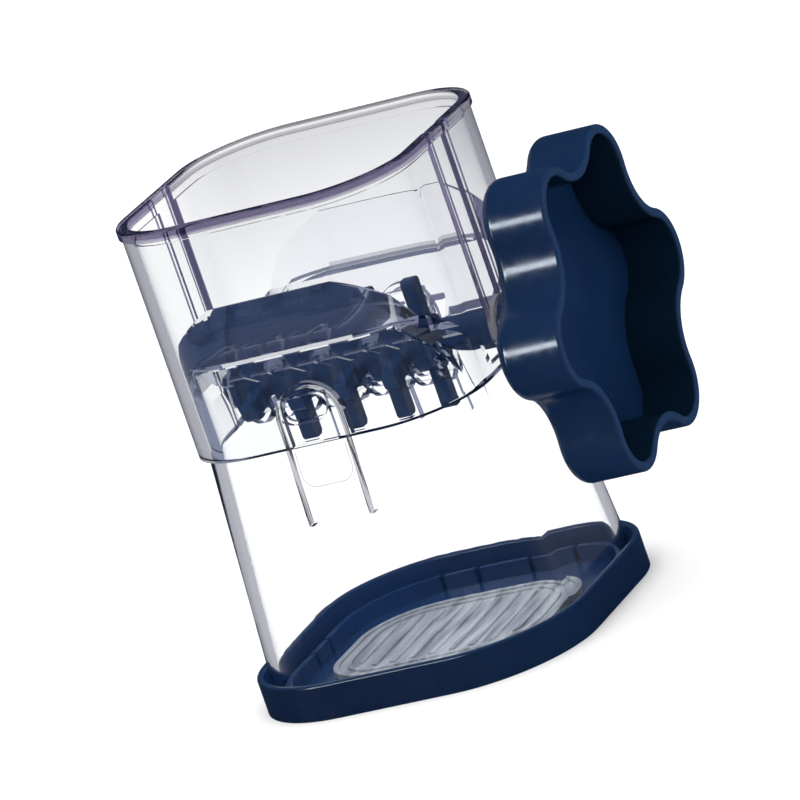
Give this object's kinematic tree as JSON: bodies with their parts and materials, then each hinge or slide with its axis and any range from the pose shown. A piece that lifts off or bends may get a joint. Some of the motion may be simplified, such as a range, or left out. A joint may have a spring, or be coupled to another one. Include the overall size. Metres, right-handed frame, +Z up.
{
  "type": "hand-turned mincer",
  "caption": "Compact hand-turned food mincer: clear rounded hopper over a clear container, toothed navy rotor in a slotted cradle, scalloped side knob and navy base tray.",
  "frame": {"origin": "middle of the base tray's underside", "axes": "+X along the rotor axis towards the knob, -Y towards the front latch, +Z up"},
  "size_m": [0.095, 0.0754, 0.104],
  "materials": {
    "clear_plastic": "clear gloss",
    "pale_plastic": "gloss",
    "navy_plastic": "gloss",
    "grey_pad": "satin"
  },
  "bodies": {
    "base": {"base_tray": "navy_plastic", "floor_pad": "grey_pad"},
    "container": {"container": "clear_plastic"},
    "front_latch": {"front_latch": "clear_plastic"},
    "back_latch": {"back_latch": "clear_plastic"},
    "hopper": {"hopper_shell": "clear_plastic", "shaft_bush": "pale_plastic", "grinding_cradle": "clear_plastic"},
    "rotor": {"rotor_core": "navy_plastic", "cutter_bar_1": "navy_plastic", "cutter_bar_2": "navy_plastic", "cutter_bar_3": "navy_plastic", "cutter_bar_4": "navy_plastic", "cutter_bar_5": "navy_plastic", "cutter_bar_6": "navy_plastic", "cutter_bar_7": "navy_plastic", "cutter_bar_8": "navy_plastic", "drive_spindle": "navy_plastic", "drive_knob": "navy_plastic"}
  },
  "joints": [
    {"name": "container_lift", "type": "slide", "parent": "base", "child": "container", "axis": [0, 0, 1], "range_m": [0, 0.04]},
    {"name": "front_latch_press", "type": "hinge", "parent": "container", "child": "front_latch", "pos_m": [0, -0.0297, 0.0383], "axis": [-1, 0, 0], "range_deg": [0, 5], "stiffness_Nm_per_rad": 0.6},
    {"name": "back_latch_press", "type": "hinge", "parent": "container", "child": "back_latch", "pos_m": [0, 0.0297, 0.0383], "axis": [1, 0, 0], "range_deg": [0, 5], "stiffness_Nm_per_rad": 0.6},
    {"name": "hopper_lift", "type": "slide", "parent": "container", "child": "hopper", "axis": [0, 0, 1], "range_m": [0, 0.05]},
    {"name": "rotor_turn", "type": "hinge", "parent": "hopper", "child": "rotor", "pos_m": [0, 0, 0.0614], "axis": [1, 0, 0], "continuous": true}
  ]
}
